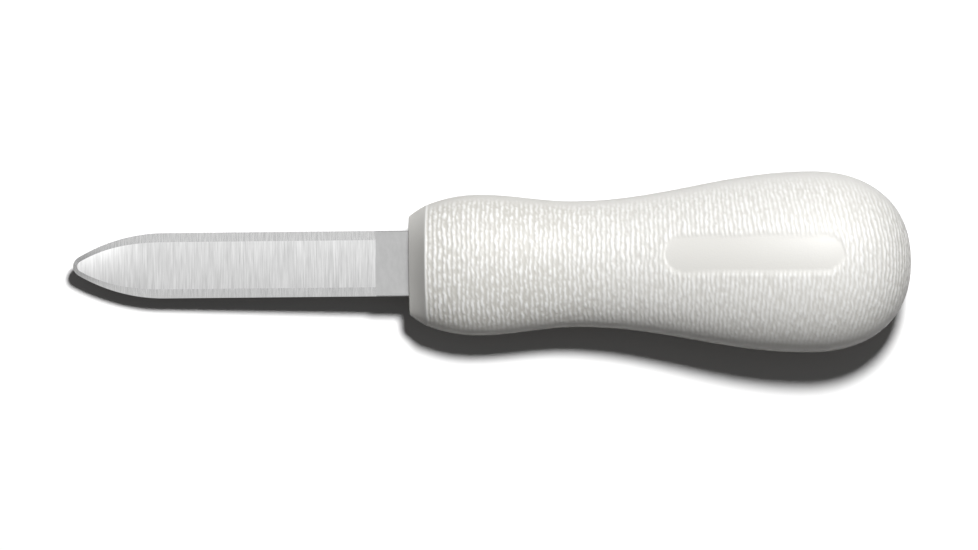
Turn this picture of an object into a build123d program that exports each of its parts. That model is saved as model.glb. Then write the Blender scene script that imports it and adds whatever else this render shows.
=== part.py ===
from build123d import *
from math import atan2, degrees, sqrt
import os

# Ground part of the blade, in millimetres
blade_length = 70.1
blade_width = 13.6
blade_thickness = 2.2
edge_thickness = 0.7
bevel_width = 1.9
point_length = 19.0
point_radius = 35.0
bend_length = 15.0
bend_radius = 100.0

# Heel of the blade, left at the thickness of the steel sheet
sheet_thickness = 2.5
heel_length = 6.8
heel_edge_radius = 0.3
heel_seat = 6.0

# The blade stands a little to one side of the handle's middle
blade_offset = 0.5

# Tang inside the handle, with two holes that the plastic fills
tang_length = 84.0
tang_width = 10.4
tang_hole_radius = 2.4
tang_first_hole = 20.0
tang_hole_gap = 57.0

# Handle, from the front to the rear
front_width = 20.4
front_thickness = 5.0
front_edge_radius = 0.6
nose_length = 3.9
nose_width = 25.3
bulge_reach = 10.6
bulge_width = 29.2
waist_reach = 20.2
waist_width = 26.1
swell_reach = 48.4
swell_width = 37.5
end_reach = 21.1

# How thick the handle is for its width, at the front bulge and at the rear swell
bulge_share = 0.63
swell_share = 0.72

# Shares of the handle's own sizes
cove_along_share = 0.5
cove_width_share = 0.56
cove_rise_share = 0.46
shoulder_along_share = 0.68
shoulder_out_share = 0.785

# How many ovals shape each stretch of the grip: nose to bulge, bulge to waist, waist to swell
ovals_per_stretch = 7

# Plain sunk panel on the upper side, its middle set back from the widest place of the handle
panel_setback = 11.0
panel_offset = 1.8
panel_length = 37.7
panel_width = 8.6
panel_depth = 0.3

# Places worked out from the sizes
tip_place = -blade_length
point_end = point_length - blade_length
bend_start = bend_length - blade_length
bulge_place = nose_length + bulge_reach
waist_place = bulge_place + waist_reach
swell_place = waist_place + swell_reach
panel_centre = swell_place - panel_setback


def oval(place, width, thickness):
    """An oval across the knife at one place along it."""
    plane = Plane(origin=(place, 0, 0), x_dir=(0, 1, 0), z_dir=(1, 0, 0))
    return plane * Ellipse(width / 2, thickness / 2)


def share_at(place):
    """The share of thickness at one place, which grows gently from the bulge to the swell."""
    along = min(max((place - bulge_place) / (swell_place - bulge_place), 0), 1)
    return bulge_share + (swell_share - bulge_share) * along**2 * (3 - 2 * along)


def grip(inset):
    """The grip behind the nose, with every half width smaller by the inset."""
    nose = (nose_length, nose_width / 2 - inset)
    bulge = (bulge_place, bulge_width / 2 - inset)
    waist = (waist_place, waist_width / 2 - inset)
    swell = (swell_place, swell_width / 2 - inset)
    reach = end_reach - inset
    shoulder = (swell_place + reach * shoulder_along_share, swell[1] * shoulder_out_share)
    end = (swell_place + reach, 0)
    start_slope = (bulge_reach, bulge_width - nose_width)
    to_bulge = Spline(nose, bulge, tangents=(start_slope, (1, 0)))
    to_waist = Spline(bulge, waist, tangents=((1, 0), (1, 0)))
    to_swell = Spline(waist, swell, tangents=((1, 0), (1, 0)))
    # The ovals stand closer together at the end of each stretch, so that the dome follows on smoothly
    shares = [1 - (1 - step / ovals_per_stretch) ** 2 for step in range(ovals_per_stretch)]
    points = [stretch @ share for stretch in (to_bulge, to_waist, to_swell) for share in shares]
    ovals = [oval(point.X, point.Y * 2, point.Y * 2 * share_at(point.X)) for point in points]
    ovals.append(oval(swell_place, swell[1] * 2, swell[1] * 2 * swell_share))
    outline = Spline(swell, shoulder, end, tangents=((1, 0), (0, -1)))
    outline += Polyline(end, (swell_place, 0), swell)
    dome = scale(revolve(make_face(outline), axis=Axis.X), by=(1, 1, swell_share))
    return loft(ovals) + dome


# Plan of the ground part: straight sides, a pointed arch and a round nose that touches both arcs
half_width = blade_width / 2
arch_gap = point_radius - half_width
nose_radius = (point_radius**2 - point_length**2 - arch_gap**2) / (point_radius - point_length) / 2
touch_along_share = (point_length - nose_radius) / (point_radius - nose_radius)
touch_out_share = arch_gap / (point_radius - nose_radius)
touch = (tip_place + nose_radius * (1 - touch_along_share), nose_radius * touch_out_share)
half_plan = Line((-heel_length, 0), (-heel_length, half_width))
half_plan += Line((-heel_length, half_width), (point_end, half_width))
half_plan += RadiusArc((point_end, half_width), touch, -point_radius)
half_plan += RadiusArc(touch, (tip_place, 0), -nose_radius)
half_plan += Line((tip_place, 0), (-heel_length, 0))
half_face = make_face(half_plan)
plan = half_face + mirror(half_face, Plane.XZ)

# Side view of the ground part: flat from the heel, then curved up beyond the tip
rise = blade_thickness / 2
beyond = bend_length + bevel_width
side_view = Polyline((bend_start, rise), (-heel_length, rise), (-heel_length, -rise), (bend_start, -rise))
ends = []
for level, radius in ((rise, bend_radius - rise), (-rise, bend_radius + rise)):
    end = (bend_start - beyond, bend_radius - sqrt(radius**2 - beyond**2))
    side_view += RadiusArc((bend_start, level), end, radius)
    ends.append(end)
side_view += Line(ends[0], ends[1])
ground = extrude(Plane.XZ * make_face(side_view), blade_width, both=True)
ground &= extrude(plan, bend_radius, both=True)

# The two edge bevels on each side run right round the point
bevel_depth = (blade_thickness - edge_thickness) / 2
for side in (0, -1):
    flat = ground.faces().filter_by(Plane.XY).sort_by(Axis.Z)[side]
    rim = flat.edges().filter_by(Axis.X)[0]
    ground = chamfer(rim, bevel_width, bevel_depth, reference=flat)

# Heel and tang at the full thickness of the sheet
heel_align = (Align.MIN, Align.CENTER, Align.CENTER)
heel = Box(heel_length + heel_seat, blade_width, sheet_thickness, align=heel_align)
heel = fillet(heel.edges().filter_by(Axis.X), heel_edge_radius)
tang_middle = tang_length - tang_width / 2
tang_plan = Rectangle(tang_middle, tang_width, align=(Align.MIN, Align.CENTER))
tang_plan += Pos(tang_middle, 0) * Circle(tang_width / 2)
tang_plan -= Pos(tang_first_hole, 0) * Circle(tang_hole_radius)
tang_plan -= Pos(tang_first_hole + tang_hole_gap, 0) * Circle(tang_hole_radius)
tang = extrude(tang_plan, sheet_thickness / 2, both=True)
blade = Pos(0, blade_offset) * (ground + Pos(-heel_length, 0) * heel + tang)

# Smooth cove at the front of the handle, from a narrow oval face up to the full grip
nose_thickness = nose_width * bulge_share
cove_width = front_width + (nose_width - front_width) * cove_width_share
cove_thickness = front_thickness + (nose_thickness - front_thickness) * cove_rise_share
front_oval = oval(0, front_width, front_thickness)
cove_oval = oval(nose_length * cove_along_share, cove_width, cove_thickness)
cove = loft([front_oval, cove_oval, oval(nose_length, nose_width, nose_thickness)])
cove = fillet(cove.edges().sort_by(Axis.X)[0], front_edge_radius)

# Handle: cove and grip, less the sunk panel and the room that the blade fills
panel = Pos(panel_centre, panel_offset) * SlotOverall(panel_length, panel_width)
sunk = extrude(panel, swell_width) - grip(panel_depth / swell_share)
handle = cove + grip(0) - sunk - blade

# Lying at rest on the front bulge and the rear swell, centred over the floor
drop = (swell_width * swell_share - bulge_width * bulge_share) / 2
tilt = degrees(atan2(drop, swell_place - bulge_place))
lying = Rot(0, -tilt, 0) * Compound([blade, handle])
box = lying.bounding_box()
place = Pos(-box.center().X, -box.center().Y, -box.min.Z) * Rot(0, -tilt, 0)

os.makedirs("parts", exist_ok=True)
export_step(place * blade, "parts/blade.step")
export_step(place * handle, "parts/handle.step")
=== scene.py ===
"""An oyster knife lying on a white table, seen from straight above.

The knife is two pieces: a blade of stainless steel ground across its width, and a handle of white
plastic moulded round the blade's tang. Sizes are millimetres along the knife's own axes: x from the
handle's front face towards its rear, y across, z up. Each finished mesh is then laid in the model's
frame, in metres.
"""

import logging
import math
from dataclasses import dataclass
from enum import Enum

import bmesh
import bpy
import numpy as np
from mathutils import Matrix, Vector, noise
from mathutils.geometry import interpolate_bezier


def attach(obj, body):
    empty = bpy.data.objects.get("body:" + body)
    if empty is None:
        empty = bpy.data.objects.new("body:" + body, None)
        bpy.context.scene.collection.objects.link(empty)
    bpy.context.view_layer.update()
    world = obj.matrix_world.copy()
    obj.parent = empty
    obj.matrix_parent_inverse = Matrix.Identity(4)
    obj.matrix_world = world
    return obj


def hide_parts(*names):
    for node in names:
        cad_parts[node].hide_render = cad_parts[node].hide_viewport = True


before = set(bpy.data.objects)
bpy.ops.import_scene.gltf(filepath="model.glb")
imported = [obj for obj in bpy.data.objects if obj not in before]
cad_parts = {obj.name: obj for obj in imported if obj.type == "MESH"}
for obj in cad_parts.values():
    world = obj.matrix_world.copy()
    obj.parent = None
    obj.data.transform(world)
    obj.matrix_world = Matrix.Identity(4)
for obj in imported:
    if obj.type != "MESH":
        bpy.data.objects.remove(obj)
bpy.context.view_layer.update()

LOG = logging.getLogger("oyster_knife")
MM = 0.001
GRAIN_MAP = "grain"
# The handle's vertex tone, 0 in a groove and 1 on a crest: painted shade in the grooves and on the cove
PAINTED_SHADE_MAP = "rib_height"

# Millimetres: vertices nearer than WELD are one, HAIR is as good as nothing, APART is clearly apart
WELD = 1e-5
HAIR = 1e-6
APART = 1.0

Triple = tuple[float, float, float]


def linear(hex_colour: str) -> tuple[float, float, float, float]:
    """Turn an sRGB colour into Blender's linear one.

    Args:
        hex_colour: the colour as six hexadecimal digits after a hash.

    Returns:
        Red, green, blue and an alpha of one.
    """
    channels = [int(hex_colour[at : at + 2], 16) / 255 for at in (1, 3, 5)]
    return tuple(c / 12.92 if c <= 0.04045 else ((c + 0.055) / 1.055) ** 2.4 for c in channels) + (1.0,)


def per_metre(size_mm: float) -> float:
    """Give the texture scale at which one cell of a pattern measures the size."""
    return 1.0 / (size_mm * MM)


def add_node(
    tree: bpy.types.NodeTree,
    kind: str,
    settings: dict[str, object] | None = None,
    values: dict[str | int, object] | None = None,
    links: dict[str | int, bpy.types.NodeSocket] | None = None,
) -> bpy.types.Node:
    """Add one node with its settings, socket values and incoming links.

    Args:
        tree: the node tree that takes the node.
        kind: the node's type name.
        settings: properties of the node itself.
        values: constant values for its input sockets.
        links: output sockets of other nodes, by the input that each one feeds.

    Returns:
        The new node.
    """
    node = tree.nodes.new(kind)
    for name, value in (settings or {}).items():
        setattr(node, name, value)
    for name, value in (values or {}).items():
        node.inputs[name].default_value = value
    for name, socket in (links or {}).items():
        tree.links.new(socket, node.inputs[name])
    return node


def blank_material(name: str) -> tuple[bpy.types.Material, bpy.types.NodeTree]:
    """Make a material whose node tree is empty."""
    material = bpy.data.materials.new(name)
    material.use_nodes = True
    material.node_tree.nodes.clear()
    return material, material.node_tree


def ease(low: float, high: float, value: float) -> float:
    """Rise smoothly from 0 at low to 1 at high."""
    share = min(max((value - low) / (high - low), 0.0), 1.0)
    return share * share * (3.0 - 2.0 * share)


def round_edges(bm: bmesh.types.BMesh, edges: list[bmesh.types.BMEdge], size: float, steps: int) -> None:
    """Round or break the edges to the size, in a number of steps."""
    bmesh.ops.bevel(
        bm,
        geom=edges,
        offset=size,
        offset_type="OFFSET",
        segments=steps,
        profile=0.5,
        affect="EDGES",
        material=-1,
        clamp_overlap=True,
    )


class Slot(Enum):
    """The names of the record's material slots; nothing in this script uses them."""

    BLADE = "blade_steel"
    HANDLE = "handle_plastic"


@dataclass(frozen=True)
class Lie:
    """How the knife lies on the table: on the handle's front bulge and its rear swell.

    The place of the handle's front face and the rise agree with the CAD model's.
    """

    front_x: float = -16.9847
    front_z: float = 8.4627
    rise_deg: float = 3.5884

    def matrix(self) -> Matrix:
        """Give the transform from the knife's own millimetres to the model's metres."""
        turn = Matrix.Rotation(-math.radians(self.rise_deg), 4, "Y")
        return Matrix.Scale(MM, 4) @ Matrix.Translation((self.front_x, 0.0, self.front_z)) @ turn


def finish_piece(
    bm: bmesh.types.BMesh, name: str, lie: Lie, node: str, materials: list[bpy.types.Material]
) -> bpy.types.Object:
    """Args:
        bm: the mesh, in the knife's own millimetres; it is freed here.
        name: the piece's name.
        lie: how the knife lies.
        node: the CAD node that the piece stands for.
        materials: its materials, in the order of the faces' indices.

    Returns:
        The finished object.
    """
    bmesh.ops.remove_doubles(bm, verts=bm.verts, dist=WELD)
    bmesh.ops.recalc_face_normals(bm, faces=bm.faces)
    bm.transform(lie.matrix())
    mesh = bpy.data.meshes.new(name)
    bm.to_mesh(mesh)
    bm.free()
    for material in materials:
        mesh.materials.append(material)
    piece = bpy.data.objects.new(name, mesh)
    bpy.context.scene.collection.objects.link(piece)
    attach(piece, "root")
    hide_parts(node)
    LOG.info("%s: %d faces", name, len(mesh.polygons))
    return piece


@dataclass(frozen=True)
class Steel:
    """Stainless steel with fine lines across the blade, which draw the gloss out along it."""

    name: str
    dark: str
    light: str
    line_mm: float
    line_length_mm: float
    relief_mm: float
    roughness: float = 0.28
    grain: float = 0.95
    detail: float = 3.0
    detail_share: float = 0.62
    tone_from: float = 0.3
    tone_to: float = 0.7

    def build(self) -> bpy.types.Material:
        """Build the material: lines of two tones from edge to edge, with a slight relief."""
        material, tree = blank_material(self.name)
        grain = add_node(
            tree, "ShaderNodeTangent", settings={"direction_type": "UV_MAP", "uv_map": GRAIN_MAP}
        )
        place = add_node(tree, "ShaderNodeTexCoord")
        scale = (per_metre(self.line_mm), per_metre(self.line_length_mm), per_metre(self.line_length_mm))
        along = add_node(
            tree, "ShaderNodeMapping", values={"Scale": scale}, links={"Vector": place.outputs["Object"]}
        )
        lines = add_node(
            tree,
            "ShaderNodeTexNoise",
            values={"Scale": 1.0, "Detail": self.detail, "Roughness": self.detail_share},
            links={"Vector": along.outputs["Vector"]},
        )
        tone = add_node(
            tree,
            "ShaderNodeMapRange",
            values={"From Min": self.tone_from, "From Max": self.tone_to},
            links={"Value": lines.outputs["Fac"]},
        )
        colour = add_node(
            tree,
            "ShaderNodeMix",
            settings={"data_type": "RGBA"},
            values={"A": linear(self.dark), "B": linear(self.light)},
            links={"Factor": tone.outputs["Result"]},
        )
        relief = add_node(
            tree,
            "ShaderNodeBump",
            values={"Strength": 1.0, "Distance": self.relief_mm * MM},
            links={"Height": lines.outputs["Fac"]},
        )
        steel = add_node(
            tree,
            "ShaderNodeBsdfPrincipled",
            values={"Metallic": 1.0, "Roughness": self.roughness, "Anisotropic": self.grain},
            links={
                "Base Color": colour.outputs["Result"],
                "Normal": relief.outputs["Normal"],
                "Tangent": grain.outputs["Tangent"],
            },
        )
        add_node(tree, "ShaderNodeOutputMaterial", links={"Surface": steel.outputs["BSDF"]})
        return material


class SteelFinish(Enum):
    """The three finishes on the blade, in the order of its material slots."""

    # Belt-ground stainless flats: bright, with open grind lines across the blade.
    FLAT = Steel("stainless_steel_ground_flat", "#afafaf", "#cccccc", 0.3, 7.0, 0.012, 0.3, 0.78)
    # Stainless edge bevels, ground finer: a tighter gloss than the flats, lines the same way across.
    BEVEL = Steel("stainless_steel_ground_bevel", "#b5b5b5", "#cecece", 0.22, 3.0, 0.006, 0.18)
    # Stainless sheet as it comes from the rolls: plain and a little darker, with next to no lines.
    HEEL = Steel("stainless_steel_rolled_sheet", "#a6a6a6", "#adadad", 0.9, 2.0, 0.003)


@dataclass(frozen=True)
class MouldedPlastic:
    """White polypropylene from an etched mould: waxy and half matte, with painted shade in its grooves, where
    the colour turns greyer and warmer.
    """

    name: str = "white_polypropylene_painted_groove_shade"
    crest: str = "#f2f2f1"
    # Painted shade: this grey, warm colour stands in for the shade down in the grooves and on the cove
    groove: str = "#c6c4be"
    roughness: float = 0.48
    grain_mm: float = 0.35
    grain_relief_mm: float = 0.03
    grain_strength: float = 0.6
    grain_detail: float = 2.0
    grain_detail_share: float = 0.55
    ior: float = 1.49

    def build(self) -> bpy.types.Material:
        """Build the material: the mesh carries its painted shade, from 0 in a groove to 1 on a crest."""
        material, tree = blank_material(self.name)
        place = add_node(tree, "ShaderNodeTexCoord")
        # The painted shade that the mesh carries, per vertex
        height = add_node(tree, "ShaderNodeAttribute", settings={"attribute_name": PAINTED_SHADE_MAP})
        grain = add_node(
            tree,
            "ShaderNodeTexNoise",
            values={
                "Scale": per_metre(self.grain_mm),
                "Detail": self.grain_detail,
                "Roughness": self.grain_detail_share,
            },
            links={"Vector": place.outputs["Object"]},
        )
        # Painted shade: the colour runs from the groove's painted shade to the white of a crest
        colour = add_node(
            tree,
            "ShaderNodeMix",
            settings={"data_type": "RGBA"},
            values={"A": linear(self.groove), "B": linear(self.crest)},
            links={"Factor": height.outputs["Fac"]},
        )
        relief = add_node(
            tree,
            "ShaderNodeBump",
            values={"Strength": self.grain_strength, "Distance": self.grain_relief_mm * MM},
            links={"Height": grain.outputs["Fac"]},
        )
        plastic = add_node(
            tree,
            "ShaderNodeBsdfPrincipled",
            values={"Roughness": self.roughness, "IOR": self.ior},
            links={"Base Color": colour.outputs["Result"], "Normal": relief.outputs["Normal"]},
        )
        add_node(tree, "ShaderNodeOutputMaterial", links={"Surface": plastic.outputs["BSDF"]})
        return material


@dataclass
class Blade:
    """The blade: one stamping of stainless sheet with its ground point, plain heel and hidden tang."""

    length: float = 70.1
    width: float = 13.6
    offset: float = 0.5
    thickness: float = 2.2
    edge_thickness: float = 0.7
    bevel_width: float = 1.9
    bevel_left_at_tip: float = 0.5
    point_length: float = 19.0
    point_radius: float = 35.0
    arch_steps: int = 30
    nose_steps: int = 18
    crown: float = 0.09
    crown_at_tip: float = 0.4
    crown_cuts: int = 9
    bend_length: float = 15.0
    bend_radius: float = 100.0
    point_cuts: int = 38
    cut_snap: float = 0.02
    least_edge: float = 0.01
    sharp_deg: float = 25.0
    sheet_thickness: float = 2.5
    heel_length: float = 6.8
    heel_edge: float = 0.2
    heel_edge_steps: int = 1
    heel_seat: float = 6.0
    tang_length: float = 84.0
    tang_width: float = 10.4
    tang_end_steps: int = 10
    tang_end_flat: float = 0.01
    overlap: float = 0.4

    def outline(self, bm: bmesh.types.BMesh) -> bmesh.types.BMFace:
        """Draw the ground part in plan by running a point along its sides and round its arcs.

        Args:
            bm: the mesh that takes the outline.

        Returns:
            The face that the outline bounds.
        """
        half = self.width / 2
        arch_gap = self.point_radius - half
        nose = (self.point_radius**2 - self.point_length**2 - arch_gap**2) / (
            2 * (self.point_radius - self.point_length)
        )
        arch_turn = math.asin((self.point_length - nose) / (self.point_radius - nose))
        start = self.point_length - self.length
        beyond = self.bevel_width * 2
        pen = bm.verts.new((beyond - self.heel_length, half, 0.0))
        pen = self.run(bm, pen, (start - pen.co.x, 0.0, 0.0))
        pen = self.sweep(bm, pen, (start, -arch_gap, 0.0), arch_turn, self.arch_steps)
        nose_turn = math.pi - 2 * arch_turn
        pen = self.sweep(bm, pen, (nose - self.length, 0.0, 0.0), nose_turn, self.nose_steps)
        pen = self.sweep(bm, pen, (start, arch_gap, 0.0), arch_turn, self.arch_steps)
        self.run(bm, pen, (beyond - self.heel_length - start, 0.0, 0.0))
        return bmesh.ops.contextual_create(bm, geom=bm.verts[:])["faces"][0]

    @staticmethod
    def run(bm: bmesh.types.BMesh, pen: bmesh.types.BMVert, step: Triple) -> bmesh.types.BMVert:
        """Draw a straight edge from the pen's vertex and return the new end."""
        made = bmesh.ops.extrude_vert_indiv(bm, verts=[pen])
        bmesh.ops.translate(bm, verts=made["verts"], vec=step)
        return made["verts"][0]

    @staticmethod
    def sweep(
        bm: bmesh.types.BMesh, pen: bmesh.types.BMVert, centre: Triple, turn: float, steps: int
    ) -> bmesh.types.BMVert:
        """Draw an arc from the pen's vertex about a centre and return the new end."""
        made = bmesh.ops.spin(
            bm, geom=[pen], cent=centre, axis=(0.0, 0.0, 1.0), angle=turn, steps=steps, use_duplicate=False
        )
        return [part for part in made["geom_last"] if isinstance(part, bmesh.types.BMVert)][0]

    def ground_part(self) -> bmesh.types.BMesh:
        """Build the ground part: the outline, its edge bevels above and below, and the bent point."""
        bm = bmesh.new()
        face = self.outline(bm)
        bmesh.ops.translate(bm, verts=bm.verts, vec=(0.0, 0.0, -self.edge_thickness / 2))
        made = bmesh.ops.extrude_face_region(bm, geom=[face])
        lifted = [part for part in made["geom"] if isinstance(part, bmesh.types.BMVert)]
        bmesh.ops.translate(bm, verts=lifted, vec=(0.0, 0.0, self.edge_thickness))
        bmesh.ops.recalc_face_normals(bm, faces=bm.faces)
        depth = (self.thickness - self.edge_thickness) / 2
        for side in sorted(bm.faces, key=lambda f: f.calc_area())[-2:]:
            ring = bmesh.ops.inset_region(
                bm, faces=[side], thickness=self.bevel_width, depth=depth, use_even_offset=True
            )
            for strip in ring["faces"]:
                strip.material_index = 1
            self.narrow_bevel(side)
        self.cut(bm, (self.overlap - self.heel_length, 0.0, 0.0), (1.0, 0.0, 0.0), clear=True)
        bmesh.ops.edgeloop_fill(bm, edges=[edge for edge in bm.edges if edge.is_boundary])
        self.slice_point(bm)
        self.crown_flats(bm)
        self.bend_point(bm)
        bmesh.ops.dissolve_degenerate(bm, edges=bm.edges, dist=self.least_edge)
        sharp = math.radians(self.sharp_deg)
        for edge in bm.edges:
            finishes = {face.material_index for face in edge.link_faces}
            edge.smooth = len(finishes) == 1 and edge.calc_face_angle(0.0) < sharp
        return bm

    def narrow_bevel(self, flat: bmesh.types.BMFace) -> None:
        """Draw the flat out towards the tip, where the bevels run narrower."""
        start = self.point_length - self.length
        for vert in flat.verts:
            spokes = [edge.other_vert(vert) for edge in vert.link_edges if edge not in flat.edges]
            outer = min(spokes, key=lambda v: (v.co.xy - vert.co.xy).length)
            share = ease(start, -self.length, outer.co.x)
            left = 1.0 + (self.bevel_left_at_tip - 1.0) * share
            vert.co.xy = outer.co.xy.lerp(vert.co.xy, left)

    def cut(self, bm: bmesh.types.BMesh, at: Triple, facing: Triple, clear: bool = False) -> None:
        """Cut the mesh by a plane, and clear what lies in front of the plane if asked."""
        geom = bm.verts[:] + bm.edges[:] + bm.faces[:]
        bmesh.ops.bisect_plane(
            bm, geom=geom, dist=self.cut_snap, plane_co=at, plane_no=facing, clear_outer=clear
        )

    def crown_flats(self, bm: bmesh.types.BMesh) -> None:
        """Round both flats slightly across, as a grinding belt does, and run that out over the bevels."""
        half = self.width / 2 - self.bevel_width
        for step in range(1, self.crown_cuts + 1):
            place = half * (2 * step / (self.crown_cuts + 1) - 1)
            self.cut(bm, (0.0, place, 0.0), (0.0, 1.0, 0.0))
        depth = (self.thickness - self.edge_thickness) / 2
        for vert in bm.verts:
            up_bevel = (abs(vert.co.z) - self.edge_thickness / 2) / depth
            if up_bevel > 0:
                share = ease(self.point_length - self.length, -self.length, vert.co.x)
                crown = self.crown + (self.crown_at_tip - self.crown) * share
                vert.co.z -= math.copysign(crown * up_bevel * (vert.co.y / half) ** 2, vert.co.z)

    def slice_point(self, bm: bmesh.types.BMesh) -> None:
        """Cut the point across into short strips, so that it can be crowned and bent."""
        start = self.point_length - self.length
        for step in range(self.point_cuts):
            place = start - self.point_length * step / self.point_cuts
            self.cut(bm, (place, 0.0, 0.0), (1.0, 0.0, 0.0))

    def bend_point(self, bm: bmesh.types.BMesh) -> None:
        """Bend the point up about an axis above the blade."""
        bend_start = self.bend_length - self.length
        for vert in bm.verts:
            ahead = bend_start - vert.co.x
            if ahead > 0:
                vert.co.z = self.bend_radius - math.sqrt((self.bend_radius - vert.co.z) ** 2 - ahead**2)

    def bar(self, start: float, end: float, width: float) -> bmesh.types.BMesh:
        """Build a plain bar of the sheet along x.

        Args:
            start: where it begins.
            end: where it ends.
            width: its width across the knife.

        Returns:
            The bar's mesh.
        """
        bm = bmesh.new()
        bmesh.ops.create_cube(bm, size=1.0)
        bmesh.ops.scale(bm, verts=bm.verts, vec=(end - start, width, self.sheet_thickness))
        bmesh.ops.translate(bm, verts=bm.verts, vec=((start + end) / 2, 0.0, 0.0))
        return bm

    def heel(self) -> bmesh.types.BMesh:
        """Build the heel: sheet as wide as the blade, its long edges broken."""
        bm = self.bar(-self.heel_length, self.heel_seat, self.width)
        long_edges = [edge for edge in bm.edges if abs(edge.verts[0].co.x - edge.verts[1].co.x) > APART]
        round_edges(bm, long_edges, self.heel_edge, self.heel_edge_steps)
        return bm

    def tang(self) -> bmesh.types.BMesh:
        """Build the tang inside the handle, round at its rear end."""
        bm = self.bar(0.0, self.tang_length, self.tang_width)
        rear = [edge for edge in bm.edges if all(vert.co.x > APART for vert in edge.verts)]
        upright = [edge for edge in rear if abs(edge.verts[0].co.z - edge.verts[1].co.z) > APART]
        round_edges(bm, upright, self.tang_width / 2 - self.tang_end_flat, self.tang_end_steps)
        return bm

    @staticmethod
    def map_grain(bm: bmesh.types.BMesh) -> None:
        """Lay the map that tells the steel which way is along the blade."""
        layer = bm.loops.layers.uv.new(GRAIN_MAP)
        for face in bm.faces:
            for corner in face.loops:
                corner[layer].uv = corner.vert.co.xy * MM

    def build(self, lie: Lie) -> bpy.types.Object:
        """Build the whole blade and dress it.

        Args:
            lie: how the knife lies.

        Returns:
            The finished piece.
        """
        whole = self.ground_part()
        for face in whole.faces:
            face.smooth = True
        for part in (self.heel(), self.tang()):
            for face in part.faces:
                face.material_index = 2
            mesh = bpy.data.meshes.new("part")
            part.to_mesh(mesh)
            part.free()
            whole.from_mesh(mesh)
            bpy.data.meshes.remove(mesh)
        bmesh.ops.translate(whole, verts=whole.verts, vec=(0.0, self.offset, 0.0))
        self.map_grain(whole)
        finishes = [finish.value.build() for finish in SteelFinish]
        return finish_piece(whole, "blade_steel", lie, "blade", finishes)


@dataclass(frozen=True)
class Ripple:
    """One smooth random wave: its strength, its length along each axis and how far it is shifted."""

    strength: float
    lengths: Triple
    shift: Triple = (0.0, 0.0, 0.0)

    def height(self, at: Vector) -> float:
        """Give the wave's height at a place on the handle."""
        place = [value / length + shift for value, length, shift in zip(at, self.lengths, self.shift)]
        return self.strength * noise.noise(Vector(place))


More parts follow.
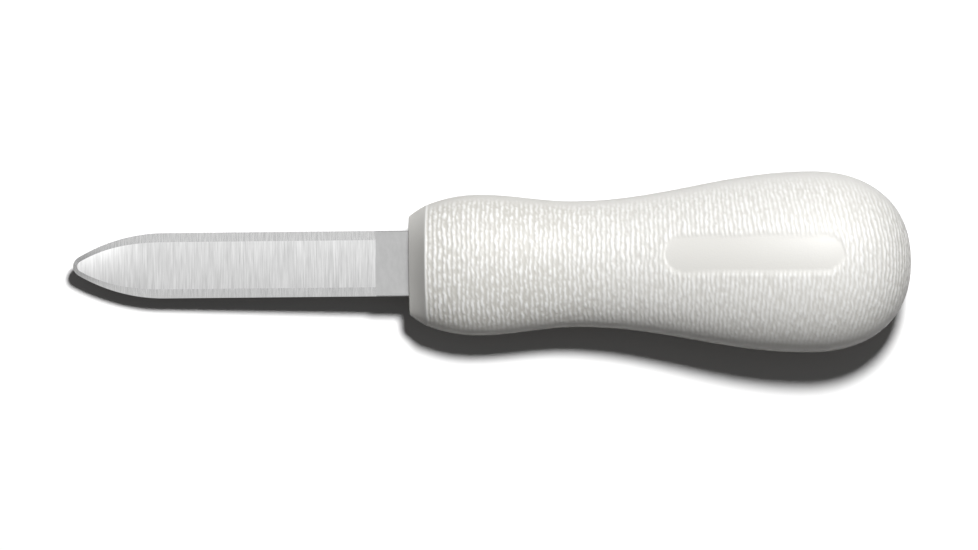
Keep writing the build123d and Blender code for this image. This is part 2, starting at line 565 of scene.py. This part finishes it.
@dataclass
class Handle:
    """The handle: an oval waisted grip with a smooth cove in front, broken ribs and a sunk plain panel."""

    front_width: float = 20.4
    front_thickness: float = 5.0
    front_edge: float = 0.55
    front_edge_steps: int = 3
    nose_length: float = 3.9
    nose_width: float = 25.3
    bulge_x: float = 14.5
    bulge_width: float = 29.2
    bulge_share: float = 0.63
    waist_x: float = 34.7
    waist_width: float = 26.1
    swell_x: float = 83.1
    swell_width: float = 37.5
    swell_share: float = 0.72
    shoulder_x: float = 97.448
    shoulder_half_width: float = 14.719
    end_x: float = 104.2
    nose_pull: tuple[float, float] = (3.058, 1.125)
    bulge_pull: float = 4.183
    waist_pull: float = 7.25
    swell_pull: float = 18.033
    dome_pull: float = 6.258
    shoulder_pull_back: tuple[float, float] = (-3.595, 2.66)
    shoulder_pull_on: tuple[float, float] = (3.907, -2.89)
    end_pull: float = 7.417
    curve_samples: int = 400
    spin_weld: float = 1e-4
    cove_width_share: float = 0.56
    cove_rise_share: float = 0.46
    cove_rings: int = 16
    grip_rings: int = 532
    around: int = 176
    rib_pitch: float = 1.0
    rib_depth: float = 0.15
    # Painted shade on the smooth cove: its tone from the groove colour at 0 to the crest colour at 1
    cove_painted_shade: float = 0.35
    panel_tone: float = 0.3
    mean_depth: float = 0.5
    # Painted groove shade: its contrast is this much stronger at the front, and falls to the share faded over
    # the swell
    front_shade_strength: float = 1.3
    faded_from: float = 22.0
    faded_to: float = 52.0
    faded: float = 0.7
    rib_start: float = 0.35
    side_bare: float = 0.25
    side_ribbed: float = 0.65
    bow_start: float = 38.0
    bow_end: float = 98.0
    bow: float = 0.0165
    bow_power: float = 1.5
    slow_sway: Ripple = Ripple(0.22, (5.0, 6.0, 6.0))
    quick_sway: Ripple = Ripple(0.34, (1.1, 1.5, 1.5), (40.0, 0.0, 0.0))
    bead: Ripple = Ripple(1.3, (0.7, 0.9, 0.9), (80.0, 0.0, 0.0))
    speck: Ripple = Ripple(0.45, (0.4, 0.45, 0.45), (0.0, 60.0, 0.0))
    bead_mean: float = 0.5
    wave_least: float = 0.45
    wave_swing: float = 0.75
    panel_x: float = 72.1
    panel_y: float = 1.8
    panel_length: float = 37.7
    panel_width: float = 8.6
    panel_depth: float = 0.3
    panel_wall: float = 0.35
    seam_width: float = 0.35

    def knots(self) -> list[tuple[tuple[float, float], ...]]:
        """Give the grip's outline as curves: start, two handles and end, as x and half width."""
        nose = (self.nose_length, self.nose_width / 2)
        bulge = (self.bulge_x, self.bulge_width / 2)
        waist = (self.waist_x, self.waist_width / 2)
        swell = (self.swell_x, self.swell_width / 2)
        shoulder = (self.shoulder_x, self.shoulder_half_width)
        end = (self.end_x, 0.0)

        def pulled(point: tuple[float, float], x: float, out: float = 0.0) -> tuple[float, float]:
            """Give the handle that lies this far along x and outwards from a point."""
            return point[0] + x, point[1] + out

        on, back = self.shoulder_pull_on, self.shoulder_pull_back
        return [
            (nose, pulled(nose, *self.nose_pull), pulled(bulge, -self.bulge_pull), bulge),
            (bulge, pulled(bulge, self.waist_pull), pulled(waist, -self.waist_pull), waist),
            (waist, pulled(waist, self.swell_pull), pulled(swell, -self.swell_pull), swell),
            (swell, pulled(swell, self.dome_pull), pulled(shoulder, *back), shoulder),
            (shoulder, pulled(shoulder, *on), pulled(end, 0.0, self.end_pull), end),
        ]

    def outline(self) -> np.ndarray:
        """Sample the grip's outline finely, as rows of x and half width."""
        rows = []
        for curve in self.knots():
            corners = [Vector((x, w, 0.0)) for x, w in curve]
            fine = interpolate_bezier(*corners, self.curve_samples)
            rows += [(p.x, p.y) for p in fine[1 if rows else 0 :]]
        return np.array(rows)

    def share_at(self, x: float) -> float:
        """Give how thick the grip is for its width at x, more from the bulge to the swell."""
        return self.bulge_share + (self.swell_share - self.bulge_share) * ease(self.bulge_x, self.swell_x, x)

    def cove(self, share: float) -> tuple[float, float, float]:
        """Give x, half width and half thickness at a share of the way along the cove."""
        middle_width = self.front_width + (self.nose_width - self.front_width) * self.cove_width_share
        full = self.nose_width * self.bulge_share
        middle_thick = self.front_thickness + (full - self.front_thickness) * self.cove_rise_share
        a, b, c = (1 - share) * (1 - 2 * share), 4 * share * (1 - share), share * (2 * share - 1)
        width = a * self.front_width + b * middle_width + c * self.nose_width
        thick = a * self.front_thickness + b * middle_thick + c * full
        return self.nose_length * share, width / 2, thick / 2

    def skin(self) -> bmesh.types.BMesh:
        """Spin the outline into the smooth handle and press it to its oval sections."""
        bm = bmesh.new()
        fine = self.outline()
        steps = np.hypot(*np.diff(fine, axis=0).T)
        walked = np.concatenate([[0.0], np.cumsum(steps)])
        stops = np.linspace(0.0, walked[-1], self.grip_rings)
        grip = list(zip(np.interp(stops, walked, fine[:, 0]), np.interp(stops, walked, fine[:, 1])))
        cove = [self.cove(ring / self.cove_rings) for ring in range(self.cove_rings)]
        flatness = [(x, thick / width) for x, width, thick in cove] + [(x, self.share_at(x)) for x, _ in grip]
        chain = [bm.verts.new((0.0, 0.0, 0.0))]
        for x, width in [(x, width) for x, width, _ in cove] + grip:
            chain.append(bm.verts.new((x, max(width, 0.0), 0.0)))
            bm.edges.new(chain[-2:])
        bmesh.ops.spin(
            bm,
            geom=bm.verts[:] + bm.edges[:],
            cent=(0.0, 0.0, 0.0),
            axis=(1.0, 0.0, 0.0),
            angle=math.tau,
            steps=self.around,
            use_merge=True,
        )
        bmesh.ops.remove_doubles(bm, verts=bm.verts, dist=self.spin_weld)
        places, shares = zip(*flatness)
        for vert in bm.verts:
            vert.co.z *= float(np.interp(vert.co.x, places, shares))
        bmesh.ops.recalc_face_normals(bm, faces=bm.faces)
        rim = [
            edge
            for edge in bm.edges
            if all(v.co.x < HAIR and v.co.length > APART for v in edge.verts)
        ]
        round_edges(bm, rim, self.front_edge, self.front_edge_steps)
        return bm

    def panel_gap(self, x: float, y: float) -> float:
        """Give the distance from the panel's outline in plan, less than zero inside."""
        radius = self.panel_width / 2
        straight = self.panel_length / 2 - radius
        return math.hypot(max(abs(x - self.panel_x) - straight, 0.0), y - self.panel_y) - radius

    def rib_height(self, at: Vector, walk: tuple[np.ndarray, np.ndarray]) -> float:
        """Give the height of the ribbed texture, from 0 in a groove to 1 on a crest.

        Args:
            at: the place on the skin.
            walk: x and the length walked over the grip's top, for an even pitch over the domed end.

        Returns:
            The height.
        """
        bowed = (at.x - self.bow_start) / (self.bow_end - self.bow_start)
        bow = self.bow * max(min(bowed, 1.0), 0.0) ** self.bow_power
        walked = float(np.interp(at.x + bow * at.y * at.y, *walk))
        sway = self.slow_sway.height(at) + self.quick_sway.height(at)
        wave = 0.5 + 0.5 * math.cos(math.tau * (walked + sway) / self.rib_pitch)
        bead = self.bead_mean + self.bead.height(at)
        height = wave * (self.wave_least + self.wave_swing * bead) + self.speck.height(at)
        return min(max(height, 0.0), 1.0)

    def texture(self, bm: bmesh.types.BMesh) -> None:
        """Press the ribs and the panel into the skin, and note each vertex's tone.

        The skin only goes down from the CAD surface. The ribs fade to a mean depth near the parting line. The
        tone is painted shade, 1 on a crest and 0 in a groove; its contrast is stronger at the front than over
        the swell. The cove is painted darker as shade, and the sunk panel is given a greyer tone.

        Args:
            bm: the smooth skin.
        """
        bm.normal_update()
        painted_shade = bm.verts.layers.float.new(PAINTED_SHADE_MAP)
        fine = self.outline()
        tops = fine[:, 1] * [self.share_at(x) for x in fine[:, 0]]
        rises = np.hypot(np.diff(fine[:, 0]), np.diff(tops))
        walk = (fine[:, 0], np.concatenate([[0.0], np.cumsum(rises)]))
        moves = []
        for vert in bm.verts:
            at = vert.co
            drop = inside = 0.0
            depth = ease(self.nose_length, self.nose_length + self.rib_start, at.x)
            if depth:
                seam = 1.0 - ease(self.seam_width / 2, self.seam_width, abs(at.z))
                up = abs(at.z) / max(float(np.interp(at.x, fine[:, 0], tops)), HAIR)
                groove = 1.0 - self.rib_height(at, walk)
                groove += (self.mean_depth - groove) * (1.0 - ease(self.side_bare, self.side_ribbed, up))
                depth *= groove * (1.0 - seam)
                drop = self.rib_depth * depth
            if at.z > 0:
                inside = 1.0 - ease(-self.panel_wall, 0.0, self.panel_gap(at.x, at.y))
                drop += inside * (self.panel_depth - drop)
            shown = ease(self.faded_from, self.faded_to, at.x)
            depth = min(depth * (self.front_shade_strength + (1.0 - self.front_shade_strength) * shown), 1.0)
            depth += (self.mean_depth - depth) * (1.0 - self.faded) * shown
            depth += (1.0 - self.panel_tone - depth) * inside
            # Painted shade: the smooth cove is darkened towards the groove colour
            smooth = ease(0.0, self.rib_start, self.nose_length - at.x) * (1.0 - self.cove_painted_shade)
            vert[painted_shade] = 1.0 - max(depth, smooth)
            moves.append((vert, vert.normal * -drop))
        for vert, move in moves:
            vert.co += move

    def build(self, lie: Lie) -> bpy.types.Object:
        """Build the handle and dress it.

        Args:
            lie: how the knife lies.

        Returns:
            The finished piece.
        """
        bm = self.skin()
        self.texture(bm)
        for face in bm.faces:
            face.smooth = True
        return finish_piece(bm, "handle_moulding", lie, "handle", [MouldedPlastic().build()])


def seen_directly(tree: bpy.types.NodeTree) -> bpy.types.NodeSocket:
    """Give 1 for the rays of the camera, and of the gloss and glass that it sees, and 0 for all others.

    Args:
        tree: the node tree that takes the nodes.

    Returns:
        The socket that carries the number.
    """
    path = add_node(tree, "ShaderNodeLightPath")
    clear = {0: path.outputs["Is Glossy Ray"], 1: path.outputs["Is Transmission Ray"]}
    mirrored = add_node(tree, "ShaderNodeMath", settings={"operation": "MAXIMUM"}, links=clear)
    undimmed = add_node(
        tree,
        "ShaderNodeMath",
        settings={"operation": "LESS_THAN"},
        values={1: 0.5},
        links={0: path.outputs["Diffuse Depth"]},
    )
    shown = {0: mirrored.outputs[0], 1: undimmed.outputs[0]}
    mirrored = add_node(tree, "ShaderNodeMath", settings={"operation": "MULTIPLY"}, links=shown)
    both = {0: path.outputs["Is Camera Ray"], 1: mirrored.outputs[0]}
    return add_node(tree, "ShaderNodeMath", settings={"operation": "MAXIMUM"}, links=both).outputs[0]


@dataclass(frozen=True)
class Paper:
    """The pale sheet that the knife lies on: it looks white, and throws little light back up.

    The lift brightens it for the camera and the gloss; all other rays meet the darker bounce.
    """

    name: str = "white_background_paper"
    colour: str = "#ffffff"
    lift: str = "#6c6c6c"
    bounce: str = "#4a443b"
    shadow_reach: float = 0.15
    sweep_start: float = 0.35

    def build(self) -> bpy.types.Material:
        """Build the material: matte round the knife, where its shadow falls, and a lit white farther out."""
        material, tree = blank_material(self.name)
        white = add_node(tree, "ShaderNodeBsdfDiffuse", values={"Color": linear(self.colour)})
        lift = add_node(tree, "ShaderNodeBsdfDiffuse", values={"Color": linear(self.lift)})
        near = add_node(
            tree, "ShaderNodeAddShader", links={0: white.outputs["BSDF"], 1: lift.outputs["BSDF"]}
        )
        far = add_node(tree, "ShaderNodeEmission", values={"Color": linear(self.colour), "Strength": 1.0})
        place = add_node(tree, "ShaderNodeTexCoord")
        distance = add_node(
            tree,
            "ShaderNodeVectorMath",
            settings={"operation": "LENGTH"},
            links={0: place.outputs["Object"]},
        )
        sweep = add_node(
            tree,
            "ShaderNodeMapRange",
            settings={"interpolation_type": "SMOOTHSTEP"},
            values={"From Min": self.shadow_reach, "From Max": self.sweep_start},
            links={"Value": distance.outputs["Value"]},
        )
        seen = add_node(
            tree,
            "ShaderNodeMixShader",
            links={0: sweep.outputs["Result"], 1: near.outputs[0], 2: far.outputs[0]},
        )
        grey = add_node(tree, "ShaderNodeBsdfDiffuse", values={"Color": linear(self.bounce)})
        paper = add_node(
            tree,
            "ShaderNodeMixShader",
            links={0: seen_directly(tree), 1: grey.outputs["BSDF"], 2: seen.outputs[0]},
        )
        add_node(tree, "ShaderNodeOutputMaterial", links={"Surface": paper.outputs[0]})
        return material


@dataclass(frozen=True)
class Lamp:
    """One round soft box that hangs near the knife and points at it."""

    name: str
    irradiance: float
    place: Triple
    softness_deg: float

    def hang(self) -> bpy.types.Object:
        """Hang the lamp and return it."""
        place = Vector(self.place)
        light = bpy.data.lights.new(self.name, "AREA")
        light.shape = "DISK"
        light.size = 2 * place.length * math.tan(math.radians(self.softness_deg / 2))
        light.energy = self.irradiance * math.pi * place.length_squared
        lamp = bpy.data.objects.new(self.name, light)
        lamp.location = place
        lamp.rotation_euler = place.to_track_quat("Z", "Y").to_euler()
        bpy.context.scene.collection.objects.link(lamp)
        return lamp


@dataclass
class Studio:
    """The table, the lamp, the sky and the camera."""

    key: Lamp = Lamp("key", 3.6, (0.126, 0.329, 0.7), 11.0)
    floor_size: float = 8.0
    sky_strength: float = 0.057
    fill: str = "#ffffff"
    horizon: float = 0.45
    bright_above: float = 0.7
    glow: float = 2.1
    glow_towards: Triple = (0.35, 0.25, 0.9)
    glow_from: float = 0.83
    glow_to: float = 0.98
    camera_height: float = 1.5
    frame_width: float = 0.2033
    knife_height: float = 0.009
    sensor: float = 36.0
    view_reach: float = 20.0
    aim_x: float = -0.0004
    aim_y: float = -0.0021
    roll_deg: float = 0.57

    def floor(self) -> bpy.types.Object:
        """Lay the white table."""
        bm = bmesh.new()
        bmesh.ops.create_grid(bm, x_segments=1, y_segments=1, size=self.floor_size / 2)
        mesh = bpy.data.meshes.new("table")
        bm.to_mesh(mesh)
        bm.free()
        mesh.materials.append(Paper().build())
        table = bpy.data.objects.new("table", mesh)
        bpy.context.scene.collection.objects.link(table)
        return table

    def sky(self) -> None:
        """Surround the table with a white for the camera and the gloss, and a faint fill for the rest.

        For the gloss the white falls off to the horizon and brightens towards one side of the top, where it
        stands for the soft box's wide reflection in the steel.
        """
        world = bpy.data.worlds.new("studio")
        bpy.context.scene.world = world
        world.use_nodes = True
        tree = world.node_tree
        tree.nodes.clear()
        fill = add_node(
            tree, "ShaderNodeBackground", values={"Color": linear(self.fill), "Strength": self.sky_strength}
        )
        place = add_node(tree, "ShaderNodeTexCoord")
        height = add_node(tree, "ShaderNodeSeparateXYZ", links={0: place.outputs["Generated"]})
        falloff = add_node(
            tree,
            "ShaderNodeMapRange",
            settings={"interpolation_type": "SMOOTHSTEP"},
            values={"From Max": self.bright_above, "To Min": self.horizon},
            links={"Value": height.outputs["Z"]},
        )
        towards = add_node(
            tree,
            "ShaderNodeVectorMath",
            settings={"operation": "DOT_PRODUCT"},
            values={1: Vector(self.glow_towards).normalized()},
            links={0: place.outputs["Generated"]},
        )
        glow = add_node(
            tree,
            "ShaderNodeMapRange",
            settings={"interpolation_type": "SMOOTHSTEP"},
            values={"From Min": self.glow_from, "From Max": self.glow_to, "To Min": 1.0, "To Max": self.glow},
            links={"Value": towards.outputs["Value"]},
        )
        mirrored = add_node(
            tree,
            "ShaderNodeMath",
            settings={"operation": "MULTIPLY"},
            links={0: falloff.outputs["Result"], 1: glow.outputs["Result"]},
        )
        path = add_node(tree, "ShaderNodeLightPath")
        plain = add_node(
            tree,
            "ShaderNodeMath",
            settings={"operation": "SUBTRACT"},
            values={0: 1.0},
            links={1: path.outputs["Is Camera Ray"]},
        )
        strength = add_node(
            tree,
            "ShaderNodeMath",
            settings={"operation": "MULTIPLY_ADD"},
            links={0: mirrored.outputs[0], 1: plain.outputs[0], 2: path.outputs["Is Camera Ray"]},
        )
        white = add_node(
            tree,
            "ShaderNodeBackground",
            values={"Color": linear("#ffffff")},
            links={"Strength": strength.outputs[0]},
        )
        mixed = add_node(
            tree,
            "ShaderNodeMixShader",
            links={0: seen_directly(tree), 1: fill.outputs[0], 2: white.outputs[0]},
        )
        add_node(tree, "ShaderNodeOutputWorld", links={"Surface": mixed.outputs[0]})

    def camera(self) -> bpy.types.Object:
        """Hang the camera straight above the knife, with a long lens and the photograph's slight roll."""
        eye = bpy.data.cameras.new("camera")
        eye.sensor_width = self.sensor
        eye.lens = self.sensor * (self.camera_height - self.knife_height) / self.frame_width
        eye.clip_end = self.view_reach
        held = bpy.data.objects.new("camera", eye)
        held.location = (self.aim_x, self.aim_y, self.camera_height)
        held.rotation_euler = (0.0, 0.0, math.radians(-self.roll_deg))
        bpy.context.scene.collection.objects.link(held)
        bpy.context.scene.camera = held
        return held

    def build(self) -> None:
        """Set up the whole studio."""
        self.floor()
        self.key.hang()
        self.sky()
        self.camera()
        bpy.context.scene.view_settings.view_transform = "Standard"
        LOG.info("studio is set")


def main() -> None:
    """Build the knife and the studio."""
    logging.basicConfig(level=logging.INFO, format="%(name)s: %(message)s")
    lie = Lie()
    Blade().build(lie)
    Handle().build(lie)
    Studio().build()


if __name__ == "__main__":
    main()
